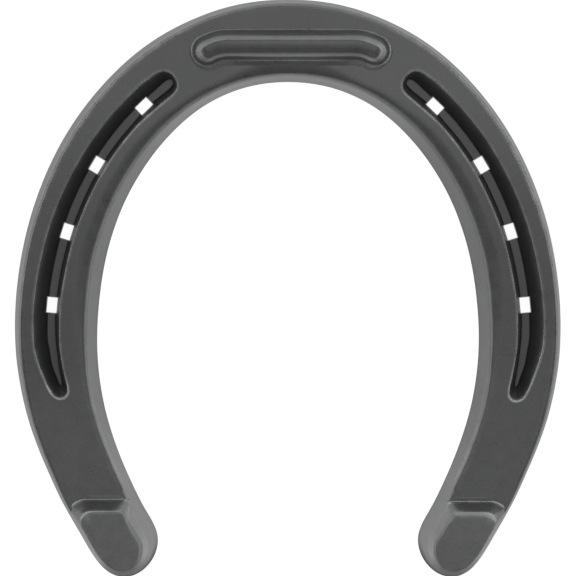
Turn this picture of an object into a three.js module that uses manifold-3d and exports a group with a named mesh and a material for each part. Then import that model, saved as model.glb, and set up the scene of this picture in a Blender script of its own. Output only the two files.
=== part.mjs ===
// A steel toe-and-heel horseshoe, drawn with its ground side up, in mm.
// Frame: origin on the hoof face (z = 0) at the middle of the plan,
// +Y to the toe, +X to one branch, +Z from the hoof face to the ground side.
// Pieces: the shoe body (a bent web with two creases and eight nail holes),
// a toe grab bar, and a calk block on each branch end. The grab and calks
// have spurs on their undersides that sit in sockets of the web.
import * as THREE from "three";
import { mergeVertices } from "three/addons/utils/BufferGeometryUtils.js";
import Module from "manifold-3d";

const wasm = await Module();
wasm.setup();

// ---------------------------------------------------------------- helpers
// Linear interpolation in a table of [distance, value], held at both ends.
function lookUp(table, distance) {
  if (distance <= table[0][0]) return table[0][1];
  for (let i = 1; i < table.length; i++) {
    const [start, startValue] = table[i - 1];
    const [end, endValue] = table[i];
    if (distance <= end) {
      return startValue + ((endValue - startValue) * (distance - start)) / (end - start);
    }
  }
  return table[table.length - 1][1];
}

// From one value to another; the fraction is held between 0 and 1.
const blend = (from, to, fraction) => from + (to - from) * Math.min(1, Math.max(0, fraction));

const mirrorX = (points) => points.map(([x, y]) => [-x, y]).reverse();

const curveThrough = (points, closed) =>
  new THREE.CatmullRomCurve3(
    points.map(([x, y]) => new THREE.Vector3(x, y, 0)), closed, "centripetal");

function smoothClosed(points, count) {
  const curve = curveThrough(points, true);
  curve.arcLengthDivisions = 4000;
  return curve.getSpacedPoints(count).slice(0, count).map((p) => new THREE.Vector2(p.x, p.y));
}

// Unit normals pointing into a closed loop that runs clockwise seen from +Z.
const inwardNormals = (loop) =>
  loop.map((_, i) => {
    const before = loop[(i + loop.length - 1) % loop.length];
    const after = loop[(i + 1) % loop.length];
    return new THREE.Vector2(after.y - before.y, before.x - after.x).normalize();
  });

// A plan point moved along its normal and set at height z.
const shifted = (point, normal, inset, z) =>
  new THREE.Vector3(point.x + normal.x * inset, point.y + normal.y * inset, z);

// Positive where a, b, c turn counterclockwise seen from +Z.
const turn = (a, b, c) => (b.x - a.x) * (c.y - a.y) - (b.y - a.y) * (c.x - a.x);

// Manifold solid from an indexed geometry, with coincident vertices welded.
function solid(geometry) {
  geometry.deleteAttribute("normal");
  geometry.deleteAttribute("uv");
  const merged = mergeVertices(geometry, 1e-5);
  return new wasm.Manifold(new wasm.Mesh({
    numProp: 3,
    vertProperties: new Float32Array(merged.attributes.position.array),
    triVerts: new Uint32Array(merged.index.array),
  }));
}

// A solid from stacked closed rings of Vector3, lowest first, all with the
// same number of points.
function stack(rings) {
  const count = rings[0].length;
  const lastRing = rings.length - 1;
  const counterclockwise = !THREE.ShapeUtils.isClockWise(rings[0]);
  const index = [];
  for (let k = 0; k < lastRing; k++) {
    for (let i = 0; i < count; i++) {
      const low = k * count + i;
      const lowNext = k * count + ((i + 1) % count);
      const high = low + count;
      const highNext = lowNext + count;
      if (counterclockwise) index.push(low, lowNext, highNext, low, highNext, high);
      else index.push(low, highNext, lowNext, low, high, highNext);
    }
  }
  const addCap = (k, facesUp) => {
    const ring = rings[k];
    const base = k * count;
    for (const [a, b, c] of THREE.ShapeUtils.triangulateShape(ring, [])) {
      const windsUp = turn(ring[a], ring[b], ring[c]) > 0;
      if (windsUp === facesUp) index.push(base + a, base + b, base + c);
      else index.push(base + a, base + c, base + b);
    }
  };
  addCap(0, false);
  addCap(lastRing, true);

  const geometry = new THREE.BufferGeometry();
  const positions = rings.flat().flatMap((p) => [p.x, p.y, p.z]);
  geometry.setAttribute("position", new THREE.Float32BufferAttribute(positions, 3));
  geometry.setIndex(index);
  return solid(geometry);
}

function geometryOf(manifold) {
  const mesh = manifold.getMesh();
  const geometry = new THREE.BufferGeometry();
  geometry.setAttribute(
    "position", new THREE.BufferAttribute(new Float32Array(mesh.vertProperties), 3));
  geometry.setIndex(new THREE.BufferAttribute(new Uint32Array(mesh.triVerts), 1));
  geometry.computeVertexNormals();
  return geometry;
}

// ---------------------------------------------------------------- outline
// Half outline of the shoe at its widest, [x, y], from the middle of the toe
// round the outside, the branch end and the inside, back to the middle of the toe.
const OUTSIDE = [
  [0, 69], [8.13, 68.45], [15.47, 66.9], [22.5, 64.37], [29.15, 61.1], [35.29, 57.03],
  [40.8, 52.27], [45.71, 47.01], [50.04, 41.4], [53.79, 35.5], [56.95, 29.35], [59.57, 23.03],
  [61.68, 16.57], [63.26, 10], [64.38, 3.33], [65.05, -3.44], [65.22, -10.3], [64.83, -17.25],
  [63.75, -24.2], [62.09, -31.17], [59.72, -38.05], [56.81, -44.92], [53.47, -51.88],
  [49.5, -58.8], [46.96, -63.25], [45.3, -65.6], [43.2, -67.7],
];
const BRANCH_END = [[40.3, -68.95], [37.1, -68.6], [34.3, -66.85], [32.1, -63.8]];
const INSIDE = [
  [31.25, -59.9], [32.1, -56.8], [34.9, -51.8], [37.8, -45.8], [40.33, -39.84], [42.34, -34.2],
  [43.88, -28.7], [44.92, -23.35], [45.55, -18.12], [45.8, -13.02], [45.7, -8.08],
  [45.33, -3.27], [44.76, 1.43], [43.95, 6.06], [42.86, 10.63], [41.44, 15.15], [39.72, 19.6],
  [37.61, 23.95], [35.11, 28.18], [32.24, 32.3], [28.94, 36.23], [25.2, 39.92], [20.99, 43.2],
  [16.3, 45.85], [11.24, 47.8], [5.91, 48.98], [0, 49.4],
];
const FINE_COUNT = 1200; // even samples round the whole outline
const MAX_SPACING = 4.2; // kept points are at most about this far apart,
const MAX_TURN = 0.22; // or this many radians of turn

const halfPoints = [...OUTSIDE, ...BRANCH_END, ...INSIDE];
const fine = smoothClosed([...halfPoints, ...mirrorX(halfPoints.slice(1, -1))], FINE_COUNT);
const fullLength = fine.reduce(
  (sum, point, i) => sum + point.distanceTo(fine[(i + 1) % FINE_COUNT]), 0);
const fineStep = fullLength / FINE_COUNT;
const halfLength = fullLength / 2;

// Samples kept on the +X half, closer together where the outline turns sharply.
function keptSamples() {
  const kept = [];
  let owed = 1;
  for (let i = 0; i <= FINE_COUNT / 2; i++) {
    const arriving = fine[i].clone().sub(fine[(i + FINE_COUNT - 1) % FINE_COUNT]);
    const leaving = fine[(i + 1) % FINE_COUNT].clone().sub(fine[i]);
    const angle = Math.abs(Math.atan2(arriving.cross(leaving), arriving.dot(leaving)));
    owed += fineStep / MAX_SPACING + angle / MAX_TURN;
    if (owed >= 1 || i === FINE_COUNT / 2) {
      kept.push(i);
      owed = 0;
    }
  }
  return kept;
}

// Stations round the whole outline: plan point, inward normal, and distance
// round the half outline from the outer middle of the toe.
function outlineStations(kept) {
  const half = kept.map((i) => ({ point: fine[i], distance: i * fineStep }));
  half[0].point.x = 0;
  half[half.length - 1].point.x = 0;
  const otherHalf = half.slice(1, -1).reverse().map(({ point, distance }) => (
    { point: new THREE.Vector2(-point.x, point.y), distance }));
  const whole = [...half, ...otherHalf];
  const normals = inwardNormals(whole.map(({ point }) => point));
  return whole.map((station, i) => ({ ...station, normal: normals[i] }));
}
const kept = keptSamples();
const stations = outlineStations(kept);
const halfStations = stations.slice(0, kept.length);

// ---------------------------------------------------------------- web
const WEB_THICK = 8; // hoof face to ground face
const FOOT_ROUND = 0.5; // edge break round the hoof face
const CALK_HEIGHT = 14; // hoof face to the tread of a heel calk

// Wall insets, [distance, inset]: LEAN at the foot of the chamfer or roll, FLAT
// where the flat ground face starts. Distances of the OUT tables run from the
// outer middle of the toe, those of the IN tables from its inner middle.
const LEAN_OUT = [[0, 0.85], [80, 0.8], [125, 0.55], [155, 0.5]];
const FLAT_OUT = [
  [0, 1.55], [77, 1.55], [98, 1.2], [110, 1.08], [125, 0.92], [140, 0.7], [155, 0.6],
];
const LEAN_IN = [
  [0, 1.65], [10, 1.65], [19, 2.2], [27, 2.7], [34, 3.15], [54, 3.35], [72, 3.6], [87, 3.4],
  [98, 3.15], [118, 2.9],
];
const FLAT_IN = [
  [0, 5.3], [77, 5.3], [87, 4.7], [94, 4], [98, 3.6], [103, 3.35], [118, 2.95],
];
// Fall of the inner roll below the ground face, [distance, fall].
const DROP_IN = [[0, 0.9], [77, 0.9], [94, 0.3], [118, 0.05]];
// Inset of a calk wall at the tread, [distance from the outer middle, inset].
const LEAN_CALK = [
  [140, 1.2], [172, 1.25], [181, 1.35], [187, 2.2], [192, 3.7], [197, 4.7], [204, 5.1],
  [230, 5.1],
];
const calkInset = (distance, z) => (lookUp(LEAN_CALK, distance) * z) / CALK_HEIGHT;

// Between these distances the web wall is straight and runs on into the calk.
const STRAIGHT_START = 160;
const STRAIGHT_END = halfLength - 126;
const OUTER_BLEND = 8; // length over which the outer chamfer fades to straight
const INNER_BLEND = 6; // and the inner roll
const STRAIGHT_HEIGHTS = [7.2, 7.6, WEB_THICK];

// [inset, z] of the web's three upper rings at a distance round the half outline.
function upperSection(distance) {
  let edge;
  let straightness;
  if (distance < (STRAIGHT_START + STRAIGHT_END) / 2) {
    const lean = lookUp(LEAN_OUT, distance);
    const flat = lookUp(FLAT_OUT, distance);
    edge = [[lean, 7.25], [(lean + flat) / 2 - 0.06, 7.72], [flat, WEB_THICK]];
    straightness = (distance - (STRAIGHT_START - OUTER_BLEND)) / OUTER_BLEND;
  } else {
    const fromInnerToe = halfLength - distance;
    const lean = lookUp(LEAN_IN, fromInnerToe);
    const flat = lookUp(FLAT_IN, fromInnerToe);
    const drop = lookUp(DROP_IN, fromInnerToe);
    edge = [
      [lean, WEB_THICK - drop],
      [blend(lean, flat, 0.42), WEB_THICK - drop * 0.3],
      [flat, WEB_THICK],
    ];
    straightness = (STRAIGHT_END + INNER_BLEND - distance) / INNER_BLEND;
  }
  return edge.map(([inset, z], k) => {
    const height = STRAIGHT_HEIGHTS[k];
    return [blend(inset, calkInset(distance, height), straightness),
      blend(z, height, straightness)];
  });
}

function webSolid() {
  const ring = (placeAt) => {
    const points = stations.map(({ point, normal, distance }) =>
      shifted(point, normal, ...placeAt(distance)));
    points[0].x = 0;
    points[halfStations.length - 1].x = 0;
    return points;
  };
  return stack([
    ring(() => [FOOT_ROUND, 0]),
    ring(() => [0, FOOT_ROUND]),
    ...[0, 1, 2].map((k) => ring((distance) => upperSection(distance)[k])),
  ]);
}

// ---------------------------------------------------------------- creases
const CREASE_FLOOR = 3; // height of the crease floor above the hoof face
const CREASE_POINTS = 72;
// Edge of the +X crease on the ground face, counterclockwise seen from +Z.
const CREASE_EDGE = [
  [27.27, 47.3], [28.2, 46.25], [30.81, 44.11], [33.2, 42], [35.2, 40.1], [37.2, 37.95],
  [39.4, 35.4], [42.6, 31.3], [45.6, 26.7], [48.2, 21.9], [50.5, 16.9], [52.3, 11.6],
  [53.7, 6.1], [54.65, 0.4], [55.15, -5.5], [55.15, -12.5], [54.65, -16.92], [53.79, -21.3],
  [53.04, -24.49], [53, -25.5], [53.7, -26.6], [55.01, -26.95], [56.25, -26.5],
  [57.69, -24.25], [59.03, -21.06], [60.38, -17.39], [61, -13.9], [61, -10], [60.75, -4],
  [60.1, 2], [59, 8.3], [57.4, 14.5], [55.3, 20.6], [52.8, 26.5], [49.8, 32.2], [46.4, 37.2],
  [42.6, 41.2], [40.3, 43.5], [38.1, 45.85], [35.8, 48.2], [33.5, 50.1], [31.54, 51.5],
  [29.89, 51.9], [28.37, 51.25], [27.3, 49.9], [26.95, 48.6],
];
const BRANCH_CENTRE_Y = -8; // outward directions fan from here on the centre line
const HEEL_TAPER = { start: -17, length: 10, strength: 0.82 }; // in y, toward the heel
const HEEL_TAPER_TARGET = new THREE.Vector2(55, -22.6);
const CREASE_OVERCUT = { outset: 0.15, rise: 0.6 }; // cutter above the ground face

// How far the floor edge sits inside the ground-face edge: furthest at the
// heel end, far on the outer wall, less on the inner wall and at the toe end.
function creaseFloorInset(point, normal) {
  const outward = new THREE.Vector2(point.x, point.y - BRANCH_CENTRE_Y).normalize();
  // 1 on the crease's outer wall, 0 on its inner wall
  const outerness = Math.max(0, -(normal.x * outward.x + normal.y * outward.y));
  if (point.y > 44 && normal.x > 0.2) return 1 + 0.4 * outerness;
  const inset = 1.15 + 1.6 * outerness ** 1.5;
  return normal.y > 0.5 && point.y < -20 ? Math.max(inset, 2.9) : inset;
}

function creaseCutter(side) {
  const edge = smoothClosed(CREASE_EDGE, CREASE_POINTS).reverse();
  const normals = inwardNormals(edge);
  const floor = edge.map((point, i) => {
    const inset = creaseFloorInset(point, normals[i]);
    const floorPoint = point.clone().addScaledVector(normals[i], inset);
    // The walls close in at the heel end, so the floor there is drawn together.
    if (point.y < HEEL_TAPER.start) {
      const pull = Math.min(1, (HEEL_TAPER.start - point.y) / HEEL_TAPER.length);
      floorPoint.lerp(HEEL_TAPER_TARGET, pull * HEEL_TAPER.strength);
    }
    return new THREE.Vector3(floorPoint.x, floorPoint.y, CREASE_FLOOR);
  });
  const edgeRing = (outset, z) => edge.map((p, i) => shifted(p, normals[i], -outset, z));
  const rings = [
    floor,
    edgeRing(0, WEB_THICK),
    edgeRing(CREASE_OVERCUT.outset, WEB_THICK + CREASE_OVERCUT.rise),
  ];
  for (const point of rings.flat()) point.x *= side;
  return stack(rings);
}

// ---------------------------------------------------------------- nail holes
const NAIL_LONG = 3.8; // at the hoof face, along the crease
const NAIL_WIDE = 2.5; // and across it
// Cutter levels, [z, growth of each half width].
const NAIL_LEVELS = [[-0.5, -0.04], [0, 0], [CREASE_FLOOR + 1.2, 0.35]];
// [x, y, degrees of the long side clockwise from +X] on the +X branch.
const NAIL_HOLES = [
  [34.87, 43.57, 44.2], [46.04, 29.47, 59.3], [53.12, 13.51, 72.7], [56.64, -4.05, 84.8],
];

// A tapered rectangular hole with its long side along the crease.
function nailCutter([x, y, degrees], side) {
  const angle = -THREE.MathUtils.degToRad(degrees);
  const cos = Math.cos(angle);
  const sin = Math.sin(angle);
  return stack(NAIL_LEVELS.map(([z, growth]) => {
    const long = NAIL_LONG / 2 + growth;
    const wide = NAIL_WIDE / 2 + growth;
    return [[-long, -wide], [long, -wide], [long, wide], [-long, wide]].map(([u, v]) =>
      new THREE.Vector3(side * (x + u * cos - v * sin), y + u * sin + v * cos, z));
  }));
}

// ---------------------------------------------------------------- spurs and sockets
const SPUR_DEPTH = 4; // below the web's ground face
const SPUR_ROOT = 0.5; // overlap into the piece above
const SPUR_TOP_RADIUS = 2.1;
const SPUR_TIP_RADIUS = 1.6;
const SOCKET_CLEARANCE = 0.3;
const TOE_SPURS = [[-12, 58.15], [12, 58.15]];
const HEEL_SPUR = [42.6, -60.6]; // on the +X branch

// A tapered spur, or its socket when grown by the clearance.
function spur([x, y], growth = 0) {
  const depth = SPUR_DEPTH + growth;
  const height = depth + SPUR_ROOT;
  const geometry = new THREE.CylinderGeometry(
    SPUR_TOP_RADIUS + growth, SPUR_TIP_RADIUS + growth, height, 20);
  geometry.rotateX(Math.PI / 2);
  geometry.translate(x, y, WEB_THICK - depth + height / 2);
  return solid(geometry);
}

// ---------------------------------------------------------------- shoe body
function shoeBody() {
  let body = webSolid();
  for (const side of [1, -1]) {
    body = body.subtract(creaseCutter(side));
    for (const hole of NAIL_HOLES) body = body.subtract(nailCutter(hole, side));
  }
  for (const place of [...TOE_SPURS, HEEL_SPUR, ...mirrorX([HEEL_SPUR])]) {
    body = body.subtract(spur(place, SOCKET_CLEARANCE));
  }
  return body;
}

// ---------------------------------------------------------------- toe grab
// Spine of the bar, [x, y], from the +X end to the middle.
const GRAB_SPINE = [[20.2, 56.75], [18.2, 57.65], [16, 58.1], [12, 58.15], [0, 58.15]];
// Wall of the bar, [z, distance from the spine], up to the crest.
const GRAB_LEVELS = [[WEB_THICK, 3.9], [9, 3.6], [12, 2.85], [12.7, 2.3], [13, 1.3]];
const GRAB_STEPS = 22; // along the spine
const GRAB_END_STEPS = 9; // round each end

function toeGrab() {
  const spine = curveThrough([...GRAB_SPINE, ...mirrorX(GRAB_SPINE.slice(0, -1))], false)
    .getSpacedPoints(GRAB_STEPS);
  const tangents = spine.map((_, i) => {
    const before = spine[Math.max(0, i - 1)];
    const after = spine[Math.min(GRAB_STEPS, i + 1)];
    return new THREE.Vector2(after.x - before.x, after.y - before.y).normalize();
  });
  // The spine runs from +X to -X, so its left side is the heel side.
  const leftNormals = tangents.map((t) => new THREE.Vector2(-t.y, t.x));

  const ring = ([z, offset]) => {
    const leftSide = spine.map((p, i) => shifted(p, leftNormals[i], offset, z));
    const rightSide = spine.map((p, i) => shifted(p, leftNormals[i], -offset, z)).reverse();
    // Half circle round a spine end, starting from the left (1) or right (-1) side.
    const endArc = (i, startSide) => {
      const start = Math.atan2(startSide * leftNormals[i].y, startSide * leftNormals[i].x);
      return Array.from({ length: GRAB_END_STEPS - 1 }, (_, k) => {
        const angle = start - (Math.PI * (k + 1)) / GRAB_END_STEPS;
        const direction = new THREE.Vector2(Math.cos(angle), Math.sin(angle));
        return shifted(spine[i], direction, offset, z);
      });
    };
    return [...leftSide, ...endArc(GRAB_STEPS, 1), ...rightSide, ...endArc(0, -1)];
  };
  let grab = stack(GRAB_LEVELS.map(ring));
  for (const place of TOE_SPURS) grab = grab.add(spur(place));
  return grab;
}

// ---------------------------------------------------------------- heel calks
// Part of the half outline that a calk's walls follow, before its front is cut.
const CALK_START = 150;
const CALK_END = halfLength - 116;
// [z, inset added to the wall's lean], with the tread's edge break on top.
const CALK_LEVELS = [
  [WEB_THICK, 0], [CALK_HEIGHT - 0.7, 0], [CALK_HEIGHT - 0.2, 0.2], [CALK_HEIGHT, 0.7],
];
// The front wall faces the toe and leans toward the heel as it rises.
const FRONT_Y = { foot: -50.6, tread: -53.5 };
// Rounded outer corner of the front, [x at the foot, distance behind the front].
const FRONT_CORNER = [[49.2, 0], [50.7, 0.45], [51.8, 1.5], [52.6, 3.4]];
const CORNER_SHIFT = 1.1; // how far the corner moves inward up to the tread
// [z, progress from foot (0) to tread (1)]; the ends overshoot the block.
const FRONT_LEVELS = [
  [WEB_THICK - 1, -1 / 6], [WEB_THICK, 0], [CALK_HEIGHT - 0.6, 0.9], [CALK_HEIGHT + 0.2, 1.28],
];
const KEEP_BOX = { innerX: 20, outerX: 60, heelY: -76 }; // clear of the block

function calkFrontRing([z, progress]) {
  const y = blend(FRONT_Y.foot, FRONT_Y.tread, progress);
  const shift = blend(0, CORNER_SHIFT, progress);
  return [
    [KEEP_BOX.innerX, y],
    [38 + progress * 1.5, y],
    ...FRONT_CORNER.map(([x, behind]) => [x - shift, y - behind]),
    [KEEP_BOX.outerX, KEEP_BOX.heelY],
    [KEEP_BOX.innerX, KEEP_BOX.heelY],
  ].map(([px, py]) => new THREE.Vector3(px, py, z));
}

// The +X calk: the branch's own walls carried up, cut by the leaning front.
function heelCalk() {
  const part = halfStations.filter(
    ({ distance }) => distance > CALK_START && distance < CALK_END);
  const block = stack(CALK_LEVELS.map(([z, inset]) =>
    part.map(({ point, normal, distance }) =>
      shifted(point, normal, calkInset(distance, z) + inset, z))));
  return block.intersect(stack(FRONT_LEVELS.map(calkFrontRing))).add(spur(HEEL_SPUR));
}

// ---------------------------------------------------------------- scene graph
const steel = (color) =>
  new THREE.MeshStandardMaterial({ color, roughness: 0.42, metalness: 0.85 });
const BODY_GREY = 0x555856;
const GRAB_GREY = 0x5b5e5c;
const CALK_GREY = 0x5d605e;

const horseshoe = new THREE.Group();
function addPiece(name, manifold, color) {
  const mesh = new THREE.Mesh(geometryOf(manifold), steel(color));
  mesh.name = name;
  horseshoe.add(mesh);
}
const rightCalk = heelCalk();
addPiece("shoe_body", shoeBody(), BODY_GREY);
addPiece("toe_grab", toeGrab(), GRAB_GREY);
addPiece("heel_calk_left", rightCalk.mirror([1, 0, 0]), CALK_GREY);
addPiece("heel_calk_right", rightCalk, CALK_GREY);

export default horseshoe;
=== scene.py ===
"""A toe-and-heel horseshoe, ground side up: body, toe grab bar and two heel calks.

Frame: origin on the hoof face at the middle of the plan, +Y to the toe, +Z to the
ground side. Geometry is worked in millimetres and scaled when a mesh is made;
shader positions, floor, light and camera are in metres. Each visible piece is lofted
from rings of matching points, so walls, rounded edges and fillets are real geometry.
"""
import math

import bmesh
import bpy
import numpy as np
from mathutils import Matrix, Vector
from mathutils.geometry import delaunay_2d_cdt


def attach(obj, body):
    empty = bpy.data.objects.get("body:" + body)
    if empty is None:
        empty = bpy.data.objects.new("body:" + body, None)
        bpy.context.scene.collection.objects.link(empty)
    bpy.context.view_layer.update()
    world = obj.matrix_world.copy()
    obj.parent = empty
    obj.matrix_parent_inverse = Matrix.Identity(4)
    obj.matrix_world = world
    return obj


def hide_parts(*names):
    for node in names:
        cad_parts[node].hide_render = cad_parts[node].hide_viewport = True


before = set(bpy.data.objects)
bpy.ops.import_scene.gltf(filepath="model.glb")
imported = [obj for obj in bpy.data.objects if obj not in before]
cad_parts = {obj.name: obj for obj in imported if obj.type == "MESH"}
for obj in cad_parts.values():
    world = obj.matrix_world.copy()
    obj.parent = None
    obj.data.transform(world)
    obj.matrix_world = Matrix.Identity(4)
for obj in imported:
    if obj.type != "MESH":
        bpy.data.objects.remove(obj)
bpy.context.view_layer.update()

MM = 0.001

# ------------------------------------------------------------------ dimensions
WEB_Z = 8.0          # flat of the web
CALK_Z = 14.0        # top of the heel calks
FLOOR_Z = 3.0        # floor of the creases
GRAB_Z = 13.0        # top of the toe grab
HALF_PLAN = 69.0     # half the length of the shoe, toe to heel

# Half outline at the hoof face (x, y), from the toe round the outside, the branch end
# and back up the inside.
OUTSIDE = [
    (0, 69.0), (8.13, 68.45), (15.47, 66.9), (22.5, 64.37), (29.15, 61.1), (35.29, 57.03),
    (40.8, 52.27), (45.71, 47.01), (50.04, 41.4), (53.79, 35.5), (56.95, 29.35),
    (59.57, 23.03), (61.68, 16.57), (63.26, 10.0), (64.38, 3.33), (65.05, -3.44),
    (65.22, -10.3), (64.83, -17.25), (63.75, -24.2), (62.09, -31.17), (59.72, -38.05),
    (56.81, -44.92), (54.6, -49.7), (53.47, -51.88), (49.5, -58.8), (46.96, -63.25),
    (45.3, -65.6), (43.2, -67.7)]
BRANCH_END = [(40.3, -68.98), (37.1, -68.65), (34.3, -66.85), (32.1, -63.8)]
INSIDE = [
    (31.25, -59.9), (32.1, -56.8), (34.9, -51.8), (37.8, -45.8), (40.33, -39.84),
    (42.34, -34.2), (43.88, -28.7), (44.92, -23.35), (45.55, -18.12), (45.8, -13.02),
    (45.7, -8.08), (45.33, -3.27), (44.76, 1.43), (43.95, 6.06), (42.86, 10.63),
    (41.44, 15.15), (39.72, 19.6), (37.61, 23.95), (35.11, 28.18), (32.24, 32.3),
    (28.94, 36.23), (25.2, 39.92), (20.99, 43.2), (16.3, 45.85), (11.24, 47.8),
    (5.91, 48.98), (0, 49.4)]

# The tables below are (distance, value). Outside distances run round the outline
# from the toe, inside ones from the inner middle of the toe.
# Outer wall: inset of its top, height of its top, inset of the web edge.
OUT_WALL = [(0, 0.85), (77, 0.85), (98, 0.75), (110, 0.68), (125, 0.6), (140, 0.5), (155, 0.46)]
OUT_WALL_Z = [(0, 7.25), (77, 7.25), (98, 7.4), (125, 7.55), (155, 7.7)]
OUT_EDGE = [(0, 1.5), (77, 1.52), (98, 1.3), (110, 1.24), (125, 1.15), (140, 0.98), (155, 0.86)]
# Inner wall: inset of its top, inset of the web flat, length of the roll between the
# web edge and the flat, and slope of the chamfer in degrees.
IN_WALL = [
    (0, 1.55), (9, 1.55), (13, 1.6), (19, 1.75), (27, 2.05), (34, 2.35), (40, 2.47), (55, 2.72),
    (67, 3.0), (79, 2.8), (89, 2.75), (99, 2.85), (106, 2.7), (111, 2.6), (118, 2.45)]
IN_FLAT = [
    (0, 6.1), (7, 5.6), (13, 4.5), (17, 4.3), (24, 4.9), (32, 5.6), (38, 5.9), (55, 6.3), (67, 6.9),
    (74, 6.7), (80, 6.1), (85, 5.5), (88, 5.3), (93, 4.7), (98, 4.3), (103, 4.0), (118, 3.6)]
IN_ROLL = [
    (0, 2.25), (7, 2.0), (13, 1.45), (19, 1.35), (27, 1.6), (34, 1.4), (45, 0.95), (80, 0.75),
    (88, 0.5), (118, 0.45)]
IN_TILT = [
    (0, 19), (12, 20), (24, 21), (34, 19), (45, 15), (62, 14), (74, 13), (80, 11), (85, 6),
    (88, 3), (100, 2), (118, 1.5)]
# Rounding of the inner wall top: tangent lengths below and above it.
IN_BELOW = [(0, 2.3), (12, 2.0), (22, 1.2), (34, 1.0), (80, 1.0), (90, 1.2), (118, 1.2)]
IN_ABOVE = [
    (0, 0.6), (12, 0.8), (22, 1.3), (34, 1.4), (78, 1.4), (88, 0.7), (96, 0.35), (118, 0.25)]
# Lean of the branch-end walls over the whole calk height, by outside distance.
LEAN = [
    (140, 1.1), (172, 0.86), (177, 0.95), (181, 1.25), (184.5, 1.55), (187, 2.05), (188.5, 2.45),
    (191.5, 3.45), (194.5, 4.5), (197.5, 5.0), (201, 5.05), (205, 5.1), (240, 5.2)]
# How far the foot of the wall stands outside the outline, on -X and +X, by outside
# distance carried on round the branch end.
FOOT_L = [
    (0, .15), (15, .20), (30, .15), (48, .11), (66, .19), (84, .16), (100, .22), (150, .23),
    (163, .27), (168, .22), (174, .15), (180, .22), (187, .46), (193, .32), (198, .20), (216, .10),
    (228, .16), (246, .25), (270, .25), (290, .30), (303, .27), (313, .20), (328, .12)]
FOOT_R = [
    (0, .15), (15, .25), (30, .25), (54, .24), (72, .20), (96, .18), (112, .15), (128, .21),
    (140, .17), (150, .10), (163, .26), (168, .22), (174, .10), (180, .25), (187, .40), (193, .26),
    (200, .24), (222, .27), (234, .22), (246, .17), (270, .15), (290, .08), (300, .10), (313, .14),
    (328, .15)]
# Painted highlight, with edge wear, on the edges of the outer and inner walls.
OUT_EDGE_HIGHLIGHT = [(0, 0.15), (22, 0.2), (32, 0.6), (80, 0.6), (92, 0.18), (150, 0.08), (158, 0.0)]
IN_EDGE_HIGHLIGHT = [(88, 0.0), (97, 0.2), (118, 0.4), (121, 0.0)]

# Sides of a crease at the web and of its floor: offset from the outside outline.
WEB_SIDE_OUT = [
    (41, 6.70), (50, 6.33), (56, 6.15), (62, 5.92), (68, 5.73), (74, 5.51), (80, 5.24), (86, 5.0),
    (92, 4.78), (98, 4.59), (104, 4.38), (110, 4.25), (116, 4.25), (119, 4.43)]
WEB_SIDE_IN = [
    (41, 12.45), (50, 12.24), (68, 11.64), (77, 11.33), (86, 10.97), (101, 10.47),
    (107, 10.22), (113, 10.15), (119, 10.17)]
FLOOR_SIDE_OUT = [
    (41, 9.46), (56, 9.0), (62, 8.81), (74, 8.4), (80, 8.18), (92, 7.83), (98, 7.7),
    (104, 7.54), (113, 7.43), (116, 7.5)]
FLOOR_SIDE_IN = [
    (41, 11.42), (53, 11.27), (65, 10.85), (77, 10.49), (92, 9.92), (104, 9.53), (113, 9.33),
    (116, 9.33)]
# Crease ends (x, y) at the web and at the floor, with matching marks on both.
WEB_HEEL = [
    (61.2, -13.9), (60.38, -17.39), (59.03, -21.06), (57.69, -24.25), (56.35, -26.3),
    (55.01, -26.85), (53.79, -26.6), (53.1, -25.6), (53.1, -24.49), (53.79, -21.3),
    (54.65, -16.92), (55.0, -13.9)]
FLOOR_HEEL = [
    (57.9, -12.2), (57.5, -14.95), (56.9, -18.4), (55.95, -21.06), (55.15, -23.1),
    (54.72, -23.6), (54.5, -23.0), (55.15, -18.62), (55.6, -14.95), (55.85, -12.2)]
WEB_HEEL_MARKS = [(60.38, -17.39), (57.69, -24.25), (54.9, -26.87), (53.1, -25.2), (54.2, -19.4)]
FLOOR_HEEL_MARKS = [(57.2, -16.5), (55.6, -22.0), (54.75, -23.62), (54.48, -22.9), (55.2, -18.2)]
WEB_TOE = [
    (33.3, 41.85), (30.75, 44.05), (28.1, 46.3), (27.25, 47.3), (26.95, 48.52), (27.3, 49.8),
    (28.37, 51.2), (29.89, 51.9), (31.6, 51.6), (33.7, 50.25), (35.9, 48.5)]
FLOOR_TOE = [
    (34.4, 42.95), (31.15, 45.75), (28.6, 47.85), (27.85, 48.9), (28.1, 49.8), (29.0, 50.05),
    (32.4, 47.3)]
WEB_TOE_MARKS = [
    (30.75, 44.05), (28.1, 46.3), (26.95, 48.52), (28.37, 51.2), (31.6, 51.6), (33.7, 50.25)]
FLOOR_TOE_MARKS = [
    (31.85, 45.15), (29.3, 47.28), (27.85, 48.9), (28.65, 50.08), (30.3, 49.15), (32.0, 47.65)]

# Nail holes: centre x, y and the lie of the long side in degrees from X.
HOLES = [(34.87, 43.57, 44.2), (46.04, 29.47, 59.3), (53.12, 13.51, 72.7), (56.64, -4.05, 84.8)]
NAIL_LONG, NAIL_WIDE, NAIL_CORNER = 3.64, 2.34, 0.16
NAIL_FLARE = [(-0.6, -0.05), (0.0, 0.0), (FLOOR_Z, 0.16), (FLOOR_Z + 4.2, 0.2)]   # z, growth
# Locating spurs under the grab and calks: centres, radius at the web and at the tip.
SPURS_TOE = [(-12, 58.15), (12, 58.15)]
SPUR_HEEL_X, SPUR_HEEL_Y = 42.6, -60.6
SPUR_TOP, SPUR_TIP, SPUR_DEPTH, CLEAR = 2.1, 1.6, 4.0, 0.3

# The upper die sat a little to +X of the lower one, more so toward the toe: y, shift.
DRIFT = [
    (-69, 0.0), (-50, 0.10), (-15, 0.14), (10, 0.20), (25, 0.26), (45, 0.42), (52, 0.50),
    (58, 0.62), (64, 0.45), (69, 0.3)]


# ------------------------------------------------------------------ curves
def lut(pairs, x):
    table = np.array(pairs, float)
    return np.interp(x, table[:, 0], table[:, 1])


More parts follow.
